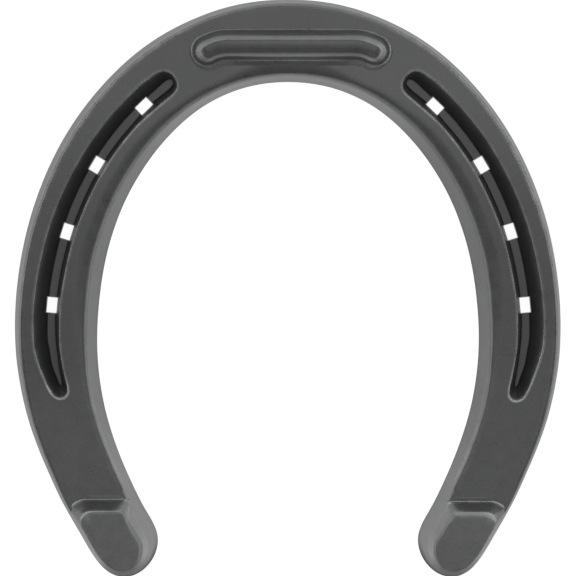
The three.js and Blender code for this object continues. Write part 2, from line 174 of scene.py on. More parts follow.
def smoothstep(start, end, x):
    t = np.clip((x - start) / (end - start), 0, 1)
    return t * t * (3 - 2 * t)


def lengths(points):
    """Running length along an open line."""
    return np.r_[0, np.cumsum(np.hypot(*np.diff(points, axis=0).T))]


def interp_xy(at, stations, points):
    return np.c_[np.interp(at, stations, points[:, 0]), np.interp(at, stations, points[:, 1])]


def resample(points, closed, count):
    points = np.asarray(points, float)
    if closed:
        points = np.vstack([points, points[:1]])
    run = lengths(points)
    at = np.linspace(0, run[-1], count, endpoint=not closed)
    return interp_xy(at, run, points), run[-1]


def spline(points, closed=True, per=40):
    """Centripetal Catmull-Rom through the points, by repeated interpolation."""
    ctrl = np.asarray(points, float)
    count = len(ctrl)
    if not closed:
        ctrl = np.vstack([2 * ctrl[0] - ctrl[1], ctrl, 2 * ctrl[-1] - ctrl[-2]])
    out = []
    for i in range(count if closed else count - 1):
        four = [ctrl[(i + k - 1) % count] if closed else ctrl[i + k] for k in range(4)]
        steps = [math.sqrt(max(1e-9, np.hypot(*(four[k + 1] - four[k])))) for k in range(3)]
        t = np.r_[0, np.cumsum(steps)]
        x = np.linspace(t[1], t[2], per, endpoint=False)[:, None]

        def blend(first, last, lo, hi):
            return (t[hi] - x) / (t[hi] - t[lo]) * first + (x - t[lo]) / (t[hi] - t[lo]) * last

        line = [blend(four[k], four[k + 1], k, k + 1) for k in range(3)]
        curve = [blend(line[k], line[k + 1], k, k + 2) for k in range(2)]
        out.append(blend(curve[0], curve[1], 1, 2))
    if not closed:
        out.append(ctrl[-2][None])
    return np.vstack(out)


def soften(loop, sigma):
    """Gaussian smoothing of an evenly sampled closed loop, sigma in mm."""
    count = len(loop)
    length = np.hypot(*np.diff(np.vstack([loop, loop[:1]]), axis=0).T).sum()
    freq = np.fft.fftfreq(count, d=length / count)
    gain = np.exp(-2 * (np.pi * freq * sigma) ** 2)[:, None]
    return np.fft.ifft(np.fft.fft(loop, axis=0) * gain, axis=0).real


def gauss(reach, sigma):
    kernel = np.exp(-0.5 * (np.arange(-reach, reach + 1) / sigma) ** 2)
    return kernel / kernel.sum()


def blur_ring(values, kernel):
    """Smooths values that run round a closed loop."""
    reach = len(kernel) // 2
    return np.convolve(np.r_[values[-reach:], values, values[:reach]], kernel, "valid")


def normals_in(loop):
    """Unit normals into a closed loop of either sense."""
    along = np.roll(loop, -1, 0) - np.roll(loop, 1, 0)
    along /= np.hypot(*along.T)[:, None]
    normal = np.c_[along[:, 1], -along[:, 0]]
    x, y = loop.T
    area = 0.5 * np.sum(x * np.roll(y, -1) - np.roll(x, -1) * y)
    return normal if area < 0 else -normal


def room_inside(loop):
    """Radius of the largest circle inside a closed loop that touches each point."""
    gap = loop[None] - loop[:, None]
    dot = (gap * normals_in(loop)[:, None]).sum(2)
    dist = (gap ** 2).sum(2)
    return np.where(dot > 1e-6, dist / np.maximum(2 * dot, 1e-9), 1e9).min(1)


def marked(points, marks, counts, sigma):
    """A smooth closed loop through the points, cut at the marks into runs of even points."""
    curve = soften(resample(spline(points, per=30), True, 6000)[0], sigma)
    at = [int(np.argmin(np.hypot(*(curve - np.asarray(mark)).T))) for mark in marks]
    curve = np.roll(curve, -at[0], 0)
    at = [(i - at[0]) % len(curve) for i in at] + [len(curve)]
    curve = np.vstack([curve, curve[:1]])
    run = lengths(curve)
    return np.vstack([
        interp_xy(np.linspace(run[i], run[j], count, endpoint=False), run, curve)
        for (i, j), count in zip(zip(at, at[1:]), counts)])


def contains(loop, point):
    x, y = loop.T
    x2, y2 = np.roll(x, -1), np.roll(y, -1)
    crosses = (y > point[1]) != (y2 > point[1])
    with np.errstate(divide="ignore", invalid="ignore"):
        at = x + (point[1] - y) * (x2 - x) / (y2 - y)
    return int(np.count_nonzero(crosses & (point[0] < at)) % 2)


def lift(xy, z):
    return np.c_[xy, np.broadcast_to(np.asarray(z, float), (len(xy),))]


def circle(x, y, radius, z, count):
    angle = np.linspace(0, 2 * np.pi, count, endpoint=False)
    return lift(np.array([x, y]) + np.c_[np.cos(angle), np.sin(angle)] * radius, z)


def drift_at(y):
    return float(lut(DRIFT, y))


def drifted(points, weight=1.0):
    out = np.array(points, float)
    out[:, 0] += lut(DRIFT, out[:, 1]) * weight
    return out


def mirrored(rows, side):
    return [row * np.array([-1, 1, 1]) for row in rows] if side < 0 else rows


def fillet_rows(keys, before, after, arcs, spans):
    """Rows of points along a polyline of keys, each an N x 3 array.

    Inner key k is rounded over tangent lengths before[k] and after[k] in arcs[k] steps;
    spans holds the steps of each straight. Also returns each row's key, 0 on a straight.
    """
    rows, kinds = [keys[0]], [0]
    last = keys[0]
    for k in range(1, len(keys) - 1):
        corner = keys[k]
        back, ahead = keys[k - 1] - corner, keys[k + 1] - corner
        back_len = np.linalg.norm(back, axis=1, keepdims=True)
        ahead_len = np.linalg.norm(ahead, axis=1, keepdims=True)
        take_back = np.minimum(np.asarray(before[k]).reshape(-1, 1), back_len * 0.9)
        take_ahead = np.minimum(np.asarray(after[k]).reshape(-1, 1), ahead_len * 0.7)
        start = corner + back / back_len * take_back
        end = corner + ahead / ahead_len * take_ahead
        for j in range(1, spans[k - 1]):
            t = j / spans[k - 1]
            rows.append(last * (1 - t) + start * t)
            kinds.append(0)
        for j in range(arcs[k] + 1):
            t = j / arcs[k]
            rows.append((1 - t) ** 2 * start + 2 * t * (1 - t) * corner + t * t * end)
            kinds.append(k)
        last = end
    for j in range(1, spans[-1] + 1):
        t = j / spans[-1]
        rows.append(last * (1 - t) + keys[-1] * t)
        kinds.append(0)
    return rows, kinds


# ------------------------------------------------------------------ mesh building
class Build:
    """Collects vertices and faces, with an edge-wear-and-painted-highlight value and a
    painted-shade value per vertex.
    """

    def __init__(self):
        self.verts, self.faces, self.wear, self.painted_shade = [], [], [], []

    def ring(self, points, wear=0.0, painted_shade=0.0):
        start, count = len(self.verts), len(points)
        self.verts.extend(map(tuple, np.asarray(points)))
        self.wear.extend(np.broadcast_to(np.asarray(wear, float), (count,)).tolist())
        self.painted_shade.extend(np.broadcast_to(np.asarray(painted_shade, float), (count,)).tolist())
        return np.arange(start, start + count)

    def bridge(self, lower, upper, flip):
        for i in range(len(lower)):
            j = (i + 1) % len(lower)
            quad = (lower[i], lower[j], upper[j], upper[i])
            self.faces.append(quad[::-1] if flip else quad)

    def bridge_all(self, rings, flip):
        for lower, upper in zip(rings, rings[1:]):
            self.bridge(lower, upper, flip)

    def loft(self, rows, kinds, flip, wear, painted_shade=None):
        """Skins the rows; edge wear and painted highlight go by key, painted shade by row. Returns
        the end rings.
        """
        painted_shade = np.zeros(len(rows)) if painted_shade is None else painted_shade
        rings = [self.ring(row, wear.get(k, 0.0), g) for row, k, g in zip(rows, kinds, painted_shade)]
        self.bridge_all(rings, flip)
        return rings[0], rings[-1]

    def prism(self, rings):
        rings = [self.ring(ring) for ring in rings]
        self.bridge_all(rings, False)
        self.faces.append(tuple(rings[0][::-1]))
        self.faces.append(tuple(rings[-1]))

    def fill(self, loops, up):
        """Triangulates the flat region between an outer loop and its holes."""
        ids = [i for loop in loops for i in loop]
        points = [Vector((self.verts[i][0], self.verts[i][1])) for i in ids]
        edges, base = [], 0
        for loop in loops:
            count = len(loop)
            edges += [(base + i, base + (i + 1) % count) for i in range(count)]
            base += count
        made, _, faces, origin, _, _ = delaunay_2d_cdt(points, edges, [], 0, 1e-7)
        outlines = [np.array([self.verts[i][:2] for i in loop]) for loop in loops]
        for face in faces:
            centre = np.mean([made[i][:] for i in face], axis=0)
            if sum(contains(outline, centre) for outline in outlines) != 1:
                continue
            tri = [ids[origin[i][0]] for i in face]
            a, b, c = (np.array(self.verts[i][:2]) for i in tri)
            turn = (b[0] - a[0]) * (c[1] - a[1]) - (b[1] - a[1]) * (c[0] - a[0])
            self.faces.append(tuple(tri[::-1] if (turn > 0) != up else tri))

    def object(self, name, material=None):
        mesh = bpy.data.meshes.new(name)
        mesh.from_pydata([(x * MM, y * MM, z * MM) for x, y, z in self.verts], [],
                         [tuple(int(i) for i in face) for face in self.faces])
        bm = bmesh.new()
        bm.from_mesh(mesh)
        bmesh.ops.recalc_face_normals(bm, faces=bm.faces)
        bm.to_mesh(mesh)
        bm.free()
        for label, values in (("wear", self.wear), ("painted_shade", self.painted_shade)):
            layer = mesh.attributes.new(label, "FLOAT", "POINT")
            layer.data.foreach_set("value", np.array(values, np.float32))
        mesh.polygons.foreach_set("use_smooth", [True] * len(mesh.polygons))
        mesh.update()
        made = bpy.data.objects.new(name, mesh)
        bpy.context.scene.collection.objects.link(made)
        if material is not None:
            mesh.materials.append(material)
        return made


# ------------------------------------------------------------------ outline
COUNT = 1320                            # points round the whole outline
half_points = OUTSIDE + BRANCH_END + INSIDE
whole = half_points + [(-x, y) for x, y in half_points[1:-1]][::-1]
outline, LENGTH = resample(spline(whole), True, COUNT)
outline = soften(outline, 1.0)
twin = (-np.arange(COUNT)) % COUNT      # each point's mirror image
outline = np.c_[(outline[:, 0] - outline[twin, 0]) / 2, (outline[:, 1] + outline[twin, 1]) / 2]
inward = normals_in(outline)
on_right = outline[:, 0] >= 0
run_out = np.arange(COUNT) * LENGTH / COUNT
run_out = np.minimum(run_out, LENGTH - run_out)   # distance from the toe, either way round
run_in = LENGTH / 2 - run_out           # distance from the inner middle of the toe
outer = run_out < 178
foot_out = blur_ring(np.where(on_right, lut(FOOT_R, run_out), lut(FOOT_L, run_out)), gauss(30, 8.0))
lean = lut(LEAN, run_out)


def out_at(run, inset):
    """Points on the +X side, inset from the outline at outside distance run."""
    at = np.asarray(run, float) / LENGTH * COUNT
    stations = np.arange(COUNT)
    normal = interp_xy(at, stations, inward)
    normal = normal / np.hypot(*normal.T)[:, None]
    return interp_xy(at, stations, outline) + normal * np.asarray(inset, float)[:, None]


def lean_at(z, lean, foot):
    """Inset of the branch-end wall, which leans evenly from the foot to the calk top."""
    return -foot * (1 - z / CALK_Z) + lean * z / CALK_Z


# Insets of the wall top and web edge all round. At the branch ends both lie on the one
# straight wall that carries on up the calk.
HEEL_WALL_Z = 7.3
heel = np.where(outer, smoothstep(151, 157.5, run_out), smoothstep(119.5, 124.5, run_in))
fade = 1 - heel
wall_in = np.where(outer, lut(OUT_WALL, run_out), lut(IN_WALL, run_in))
flat_in = np.where(outer, lut(OUT_EDGE, run_out) + 0.3, lut(IN_FLAT, run_in))
edge_in = np.where(outer, lut(OUT_EDGE, run_out), flat_in - lut(IN_ROLL, run_in))
wall_z = np.where(outer, lut(OUT_WALL_Z, run_out),
                  WEB_Z - np.tan(np.radians(lut(IN_TILT, run_in))) * (edge_in - wall_in))
wall_in = wall_in * fade + lean_at(HEEL_WALL_Z, lean, foot_out) * heel
wall_z = wall_z * fade + HEEL_WALL_Z * heel
edge_in = edge_in * fade + lean_at(WEB_Z, lean, foot_out) * heel
web_edge = outline + inward * edge_in[:, None]


# ------------------------------------------------------------------ body
def rim_key(inset, z):
    points = lift(outline + inward * np.asarray(inset).reshape(-1, 1), z)
    return drifted(points, smoothstep(0.0, 7.0, points[:, 2]))


def rim_rows():
    """Hoof flat, hoof edge, wall, top of the wall, web edge and web flat, all round."""
    chamfer = np.hypot(edge_in - wall_in, WEB_Z - wall_z)
    wall_before = np.where(outer, 0.28, lut(IN_BELOW, run_in))
    wall_after = np.where(outer, 0.22, np.minimum(lut(IN_ABOVE, run_in), 0.68 * chamfer))
    edge_before = np.where(outer, 0.2, np.minimum(flat_in - edge_in, chamfer - wall_after - 0.03))
    edge_after = np.where(outer, 0.28 + 0.42 * smoothstep(100, 125, run_out), flat_in - edge_in)
    # the roundings all but vanish on the branch-end wall
    wall_before, wall_after = wall_before * fade + 0.02, wall_after * fade + 0.02
    edge_before, edge_after = edge_before * fade + 0.015, edge_after * fade + 0.015
    hoof_round = 0.42
    keys = [
        rim_key(1.3, 0),
        rim_key(-foot_out, 0),
        rim_key(wall_in, wall_z),
        rim_key(edge_in, WEB_Z),
        rim_key(edge_in + 0.3 + np.maximum(edge_after, 0.15), WEB_Z)]
    return fillet_rows(keys, [0, hoof_round, wall_before, edge_before, 0],
                       [0, hoof_round, wall_after, edge_after, 0], [0, 6, 10, 9, 0], [2, 6, 3, 2])


def rim_painted_shade(rows):
    """Painted shade low on the walls, heaviest round the branch ends."""
    heel_foot = smoothstep(168.0, 177.0, run_out) * smoothstep(-197.0, -188.0, -run_out)
    painted_shade = []
    for row in rows:
        z = float(row[:, 2].mean())
        low = np.where(outer, 0.4, 1.4) * (1 - smoothstep(0.5, 1.1, z))
        end = heel_foot * (2.1 * (1 - smoothstep(0.5, 5.0, z)) + 1.2 * float(z < WEB_Z - 0.01))
        painted_shade.append((low + end) * float(z > 0.02))
    return painted_shade


def crease_loop(side_out, side_in, heel_end, toe_end, heel_marks, toe_marks, widen, sigma):
    """One closed loop of a crease; widen moves the outer and inner sides' offsets."""
    run = np.linspace(52, 110, 13)
    far = out_at(run, lut(side_out, run) - widen[0])
    near = out_at(run, lut(side_in, run) + widen[1])[::-1]
    marks = [far[0], far[-1]] + heel_marks + [near[0], near[-1]] + toe_marks
    counts = [150] + [12] * 6 + [150] + [12] * 7
    return marked(np.vstack([far, heel_end, near, toe_end]), marks, counts, sigma)


def crease_rows(side):
    """Rows of one crease: web flat, rounded edge, wall, floor fillet, floor."""
    edge = crease_loop(WEB_SIDE_OUT, WEB_SIDE_IN, WEB_HEEL, WEB_TOE, WEB_HEEL_MARKS,
                       WEB_TOE_MARKS, widen=(0.3, 0.14), sigma=0.3)
    floor = crease_loop(FLOOR_SIDE_OUT, FLOOR_SIDE_IN, FLOOR_HEEL, FLOOR_TOE, FLOOR_HEEL_MARKS,
                        FLOOR_TOE_MARKS, widen=(0.0, 0.0), sigma=0.12)
    floor_in = floor + normals_in(floor) * np.minimum(0.42, 0.62 * room_inside(floor))[:, None]
    keys = [lift(edge - normals_in(edge) * 0.75, WEB_Z), lift(edge, WEB_Z),
            lift(floor, FLOOR_Z), lift(floor_in, FLOOR_Z)]
    top_round = 0.3 - 0.06 * smoothstep(7.0, 20.0, -edge[:, 1])
    floor_round = np.minimum(0.2, 0.4 * np.hypot(*(floor_in - floor).T))
    rows, kinds = fillet_rows(keys, [0, top_round, 0.3, 0], [0, top_round, floor_round, 0],
                              [0, 8, 5, 0], [2, 6, 1])
    # the two creases don't end quite alike toward the heel
    for row in rows:
        y = row[:, 1].copy()
        row[:, 0] -= 0.28 * smoothstep(4.0, 17.0, -y)
        row[:, 1] += (0.4 if side < 0 else -0.2) * smoothstep(19.0, 26.0, -y)
    return [drifted(row) for row in mirrored(rows, side)], kinds


def crease_wear(rows):
    """Painted highlight on the crease's top edge; the edge nearer the opening, whose wall leans
    outward, is brightest.
    """
    slope = (rows[-1] - rows[0])[:, :2]
    radial = rows[0][:, :2] - np.array([0, -8.0])
    facing = (slope * radial).sum(1)
    facing /= np.linalg.norm(slope, axis=1) * np.linalg.norm(radial, axis=1)
    y = rows[0][:, 1]
    ends = (0.8 * smoothstep(7.0, 20.0, -y) + 1.0 * smoothstep(19.0, 25.0, -y)
            + 0.6 * smoothstep(45.0, 49.0, y))
    side_highlight = (0.58 + 0.4 * smoothstep(15.0, 35.0, y)) * smoothstep(-0.3, 0.6, facing)
    return np.maximum(0.32 + side_highlight, 0.4 + ends)


def shoe_body():
    body = Build()
    rows, kinds = rim_rows()
    # painted highlight on the wall edges, stronger on the +X side
    edge_highlight = np.where(outer, lut(OUT_EDGE_HIGHLIGHT, run_out) * np.where(on_right, 1.35, 1.0),
                   lut(IN_EDGE_HIGHLIGHT, run_in))
    wear = {1: 0.1, 2: edge_highlight, 3: np.where(outer, edge_highlight, 0.4 * edge_highlight)}
    hoof_ring, web_ring = body.loft(rows, kinds, False, wear, rim_painted_shade(rows))
    openings = []
    for side in (1, -1):
        rows, kinds = crease_rows(side)
        # painted shade on the crease floor and the foot of its walls
        depth = [float(np.clip((3.9 - row[:, 2].mean()) / 0.8, 0, 1)) for row in rows]
        top, floor = body.loft(rows, kinds, side < 0, {1: crease_wear(rows)}, depth)
        openings.append(top)
        body.fill([floor], True)
    body.fill([web_ring] + openings, True)
    body.fill([hoof_ring], False)
    return body


# ------------------------------------------------------------------ shader helper
class Graph:
    """Adds linked nodes to a material or world."""

    def __init__(self, owner, clear=True):
        owner.use_nodes = True
        self.tree = owner.node_tree
        self.link = self.tree.links.new
        if clear:
            self.tree.nodes.clear()

    def node(self, kind, **props):
        made = self.tree.nodes.new(kind)
        for key, value in props.items():
            setattr(made, key, value)
        return made

    def math(self, operation, *values):
        made = self.node("ShaderNodeMath", operation=operation)
        for socket, value in zip(made.inputs, values):
            if isinstance(value, (int, float)):
                socket.default_value = value
            else:
                self.link(value, socket)
        return made.outputs[0]

    def add(self, a, b):
        return self.math("ADD", a, b)

    def sub(self, a, b):
        return self.math("SUBTRACT", a, b)

    def mul(self, a, b):
        return self.math("MULTIPLY", a, b)

    def remap(self, value, span, to=(0.0, 1.0), **props):
        made = self.node("ShaderNodeMapRange", **props)
        for i, number in enumerate((*span, *to)):
            made.inputs[i + 1].default_value = number
        self.link(value, made.inputs[0])
        return made.outputs[0]

    def ease(self, value, span, to):
        return self.remap(value, span, to, interpolation_type="SMOOTHSTEP")

    def split(self, vector):
        made = self.node("ShaderNodeSeparateXYZ")
        self.link(vector, made.inputs[0])
        return made.outputs

    def ramp(self, value, stops, interpolation="LINEAR"):
        """Grey ramp through (position, level) stops."""
        made = self.node("ShaderNodeValToRGB")
        colors = made.color_ramp
        colors.interpolation = interpolation
        while len(colors.elements) < len(stops):
            colors.elements.new(0.5)
        for element, (at, level) in zip(colors.elements, stops):
            element.position = at
            element.color = (level, level, level, 1)
        self.link(value, made.inputs[0])
        return made.outputs[0]


# ------------------------------------------------------------------ steel
# Painted shade on the faces that look up, by y: darker half way down the branches.
WEB_PAINTED_SHADE = [
    (-69, 1.0), (-45, 0.99), (-36, 0.93), (-26, 0.87), (-15, 0.79), (-2, 0.75), (10, 0.78),
    (20, 0.81), (32, 0.88), (45, 0.95), (55, 0.97), (61, 0.92), (69, 0.87)]
STEEL_COLOR = (0.208, 0.2145, 0.211, 1)
METALLIC = 0.66
WEAR_AND_HIGHLIGHT = 1.0                # strength of the edge wear and painted edge highlight
PAINTED_HIGHLIGHT_GAIN = 1.1      # tone gained by painted highlight on the marked edges
WORN_SMOOTHER = 0.07     # roughness lost where worn
PAINTED_SHADE_DARKER = 0.24      # tone lost under painted shade
BUMP_STRENGTH, BUMP_DISTANCE = 0.2, 0.00006
MOTTLE_BUMP = 0.8        # height of the mottle against the grain
NOISE = (0.3, 0.7)       # working range of the noises


def upward_painted_light(graph, place, top_painted_light):
    """Painted light and shade on the upward faces above the crease floor; the third argument is the
    painted brightening of the calk tops.
    """
    facing = graph.split(graph.node("ShaderNodeNewGeometry").outputs["Normal"])[2]
    x, y, z = graph.split(place)
    up = graph.mul(graph.remap(facing, (0.975, 0.998)), graph.remap(z, (0.006, 0.0072)))
    stops = [((at + HALF_PLAN) / (2 * HALF_PLAN), tone) for at, tone in WEB_PAINTED_SHADE]
    ramp = graph.ramp(graph.remap(y, (-HALF_PLAN * MM, HALF_PLAN * MM)), stops)
    # painted light on the calk tops
    high = graph.mul(graph.remap(z, (0.0125, 0.0135)), top_painted_light - 1.0)
    high = graph.add(1.0, high)
    # painted shade: the -X shoulder of the toe is a shade darker
    shoulder_painted_shade = graph.mul(graph.remap(x, (-0.011, -0.018), to=(0.0, 0.09)),
                     graph.remap(x, (-0.046, -0.032)))
    shoulder_painted_shade = graph.sub(1.0, graph.mul(shoulder_painted_shade, graph.remap(y, (0.038, 0.05))))
    change = graph.sub(graph.mul(graph.mul(ramp, shoulder_painted_shade), high), 1.0)
    return graph.add(1.0, graph.mul(up, change))


def steel(name, seed, top_painted_light=1.0):
    """Drop-forged steel, blasted and oxide-toned, a little brighter on its edges by painted
    highlight and darker by painted shade where marked.
    """
    material = bpy.data.materials.new(name)
    graph = Graph(material)
    place = graph.node("ShaderNodeTexCoord").outputs["Object"]

    def noise(scale, detail, roughness, offset=0.0):
        mapping = graph.node("ShaderNodeMapping")
        shift = (offset + seed * 0.037, seed * 0.051, offset * 0.7)
        mapping.inputs["Location"].default_value = shift
        graph.link(place, mapping.inputs["Vector"])
        made = graph.node("ShaderNodeTexNoise")
        made.inputs["Scale"].default_value = scale
        made.inputs["Detail"].default_value = detail
        made.inputs["Roughness"].default_value = roughness
        graph.link(mapping.outputs["Vector"], made.inputs["Vector"])
        return made.outputs["Fac"]

    output = graph.node("ShaderNodeOutputMaterial")
    surface = graph.node("ShaderNodeBsdfPrincipled")
    graph.link(surface.outputs[0], output.inputs[0])
    surface.inputs["Metallic"].default_value = METALLIC

    # blasted skin of about 0.5 mm, oxide patches of about 3 mm, slow tone over about 20 mm
    grain = noise(scale=1900, detail=3, roughness=0.6)
    mottle = noise(scale=330, detail=4, roughness=0.55, offset=0.7)
    cloud = noise(scale=46, detail=2, roughness=0.5, offset=1.1)
    # per-vertex marks: painted highlight on the edges (also smoothed, as worn), and painted shade
    wear = graph.node("ShaderNodeAttribute", attribute_name="wear").outputs["Fac"]
    painted_shade = graph.node("ShaderNodeAttribute", attribute_name="painted_shade").outputs["Fac"]
    worn_and_highlight = graph.mul(wear, graph.remap(mottle, (0.35, 0.65), to=(0.5, 1.0)))
    worn_and_highlight = graph.mul(worn_and_highlight, WEAR_AND_HIGHLIGHT)

    level = graph.mul(graph.remap(grain, NOISE, to=(0.90, 1.10)),
                      graph.remap(mottle, NOISE, to=(0.93, 1.07)))
    level = graph.mul(level, graph.remap(cloud, NOISE, to=(0.955, 1.045)))
    level = graph.mul(level, upward_painted_light(graph, place, top_painted_light))
    level = graph.mul(level, graph.add(1.0, graph.mul(worn_and_highlight, PAINTED_HIGHLIGHT_GAIN)))
    level = graph.mul(level, graph.sub(1.0, graph.mul(painted_shade, PAINTED_SHADE_DARKER)))
    base = graph.node("ShaderNodeMix", data_type="RGBA")
    base.inputs["A"].default_value = (0.0, 0.0, 0.0, 1)
    base.inputs["B"].default_value = STEEL_COLOR
    base.clamp_factor = False
    graph.link(level, base.inputs["Factor"])
    graph.link(base.outputs["Result"], surface.inputs["Base Color"])

    # heavy painted shade also takes the glancing reflection away
    shine = graph.remap(painted_shade, (1.0, 3.0), to=(1.0, 0.4))
    tint = graph.node("ShaderNodeCombineColor")
    for i in range(3):
        graph.link(shine, tint.inputs[i])
    graph.link(tint.outputs[0], surface.inputs["Specular Tint"])

    rough = graph.add(graph.remap(mottle, NOISE, to=(0.29, 0.35)),
                      graph.remap(grain, NOISE, to=(-0.03, 0.03)))
    rough = graph.sub(rough, graph.mul(worn_and_highlight, WORN_SMOOTHER))
    graph.link(rough, surface.inputs["Roughness"])

    bump = graph.node("ShaderNodeBump")
    bump.inputs["Strength"].default_value = BUMP_STRENGTH
    bump.inputs["Distance"].default_value = BUMP_DISTANCE
    graph.link(graph.add(grain, graph.mul(mottle, MOTTLE_BUMP)), bump.inputs["Height"])
    graph.link(bump.outputs["Normal"], surface.inputs["Normal"])
    return material


# ------------------------------------------------------------------ holes and sockets
def nail_ring(x, y, lie, side, z, growth):
    """Rounded rectangle of a nail hole at height z."""
    cos, sin = math.cos(math.radians(-lie)), math.sin(math.radians(-lie))
    half_long = NAIL_LONG / 2 + growth - NAIL_CORNER
    half_wide = NAIL_WIDE / 2 + growth - NAIL_CORNER
    ring = []
    for sign_x, sign_y, start in ((1, 1, 0), (-1, 1, 90), (-1, -1, 180), (1, -1, 270)):
        for k in range(5):
            turn = math.radians(start + 22.5 * k)
            along = sign_x * half_long + NAIL_CORNER * math.cos(turn)
            across = sign_y * half_wide + NAIL_CORNER * math.sin(turn)
            ring.append((side * (x + along * cos - across * sin) + drift_at(y),
                         y + along * sin + across * cos, z))
    return ring if side > 0 else ring[::-1]


def punch(shoe):
    """Cuts the nail holes and the spur sockets."""
    cut = Build()
    for side in (1, -1):
        for x, y, lie in HOLES:
            cut.prism([nail_ring(x, y, lie, side, z, growth) for z, growth in NAIL_FLARE])
    for x, y in SPURS_TOE + [(SPUR_HEEL_X, SPUR_HEEL_Y), (-SPUR_HEEL_X, SPUR_HEEL_Y)]:
        cut.prism([circle(x + drift_at(y), y, radius + CLEAR, z, 32) for z, radius in (
            (WEB_Z - SPUR_DEPTH - CLEAR, SPUR_TIP), (WEB_Z + 0.5, SPUR_TOP))])
    cutter = cut.object("cutter")

    mod = shoe.modifiers.new("punch", "BOOLEAN")
    mod.operation = "DIFFERENCE"
    mod.object = cutter
    mod.solver = "MANIFOLD"
    graph = bpy.context.evaluated_depsgraph_get()
    punched = bpy.data.meshes.new_from_object(
        shoe.evaluated_get(graph), preserve_all_data_layers=True, depsgraph=graph)
    shoe.modifiers.clear()
    shoe.data = punched
    bpy.data.objects.remove(cutter)
    drop_slivers(punched)


def drop_slivers(mesh):
    """Removes the slivers of no area and doubled faces that the punching leaves."""
    bm = bmesh.new()
    bm.from_mesh(mesh)
    bmesh.ops.dissolve_degenerate(bm, dist=1e-6, edges=bm.edges)
    bmesh.ops.dissolve_verts(bm, verts=[v for v in bm.verts if len(v.link_edges) == 2])
    seen, twins = {}, set()
    for face in bm.faces:
        key = frozenset(v.index for v in face.verts)
        if key in seen:
            twins.update((face, seen[key]))
        seen[key] = face
    bmesh.ops.delete(bm, geom=list(twins), context="FACES")
    bmesh.ops.delete(bm, geom=[v for v in bm.verts if not v.link_faces], context="VERTS")
    bm.to_mesh(mesh)
    bm.free()


def spur(build, x, y):
    """A tapered locating spur: side and tip; returns its upper ring."""
    tip_z = WEB_Z - SPUR_DEPTH
    rings = [build.ring(circle(x + drift_at(y), y, radius, z, 28)) for z, radius in (
        (WEB_Z - 0.04, SPUR_TOP), (tip_z + 0.35, SPUR_TIP + 0.04),
        (tip_z + 0.1, SPUR_TIP - 0.1), (tip_z, SPUR_TIP - 0.35))]
    build.bridge_all(rings, True)
    build.faces.append(tuple(rings[-1][::-1]))
    return rings[0]


# ------------------------------------------------------------------ toe grab
GRAB_SPINE = [
    (20.25, 56.8), (18.2, 57.65), (16, 58.08), (12, 58.15), (6, 58.17), (0, 58.17),
    (-6, 58.17), (-12, 58.15), (-15.8, 58.08), (-17.95, 57.65), (-19.95, 56.8)]
# Lines of the section: distance from the spine and height, each on the toe side, the
# heel side and at the ends, then how far the line drops toward the ends.
GRAB_KEYS = [
    ((4.25, 5.15, 4.5), (WEB_Z - 0.03, WEB_Z - 0.03, WEB_Z - 0.03), 0),
    ((3.95, 4.75, 4.15), (WEB_Z, WEB_Z + 0.02, WEB_Z), 0),
    ((3.7, 3.62, 3.65), (WEB_Z + 0.03, WEB_Z + 0.30, WEB_Z + 0.10), 0),
    ((2.15, 2.75, 2.95), (11.9, 11.6, 11.0), 0.25),
    ((1.2, 1.9, 1.42), (12.93, 12.6, 12.6), 0.35),
    ((1.05, 0.49, 0.7), (GRAB_Z, GRAB_Z, 12.97), 0.3),
    ((0.97, -0.93, 0.12), (GRAB_Z, GRAB_Z, 12.99), 0.28),
]


def grab_bar():
    spine, _ = resample(spline(GRAB_SPINE, closed=False, per=30), False, 121)
    along = np.gradient(spine, axis=0)
    along /= np.hypot(*along.T)[:, None]
    # the spine runs from +X to -X, so its left is the heel side
    left = np.c_[-along[:, 1], along[:, 0]]
    turn = np.radians(np.linspace(0, 180, 37))[1:-1]
    cos, sin = np.cos(turn)[:, None], np.sin(turn)[:, None]
    ones = np.ones((len(turn), 1))
    # heel side, -X end, toe side, +X end
    centre = np.vstack([spine, ones * spine[-1], spine[::-1], ones * spine[0]])
    out = np.vstack([left, left[-1] * cos + along[-1] * sin,
                     -left[::-1], -left[0] * cos - along[0] * sin])
    straight = np.zeros(len(spine))
    end = np.r_[straight, np.sin(turn), straight, np.sin(turn)] ** 2
    toe_side = np.clip(out[:, 1] * 4 + 0.5, 0, 1)

    def mix(values):
        toe, heel_side, tip = values
        return (toe * toe_side + heel_side * (1 - toe_side)) * (1 - end) + tip * end

    keys = []
    for offsets, heights, drop in GRAB_KEYS:
        reach = mix(offsets)
        tip_drop = drop * smoothstep(14.5, 21.5, np.abs(centre[:, 0] + out[:, 0] * reach))
        keys.append(lift(centre + out * reach[:, None], mix(heights) - tip_drop))
    # the swell at its heel-side foot dies out toward both ends
    away = smoothstep(9.0, 16.0, np.abs(centre[:, 0]))
    keys[2][:, 2] -= 0.22 * (1 - toe_side) * (1 - end) * away
    rows, kinds = fillet_rows(keys, [0, 0.3, 0.35, 0.6, 0.5, 1.4, 0],
                              [0, 0.5, 0.45, 0.6, 1.0, 1.4, 0],
                              [0, 5, 6, 7, 8, 8, 0], [2, 1, 5, 2, 1, 1])
    rows = [row + np.array([drift_at(SPURS_TOE[0][1]), 0, 0]) for row in rows]
    at_right = smoothstep(15.0, 22.0, centre[:, 0])
    at_end = smoothstep(15.0, 22.0, np.abs(centre[:, 0]))
    # painted highlight, with edge wear, by key: the same everywhere, at both ends, and more at the
    # +X end
    wear = {key: even + ends * at_end + 0.3 * at_right
            for key, even, ends in ((2, 0.4, 0.25), (3, 0.12, 0.15), (4, 0.05, 0.25))}
    grab = Build()
    low, top = grab.loft(rows, kinds, True, wear)
    grab.fill([top], True)
    grab.fill([low] + [spur(grab, x, y) for x, y in SPURS_TOE], False)
    return grab


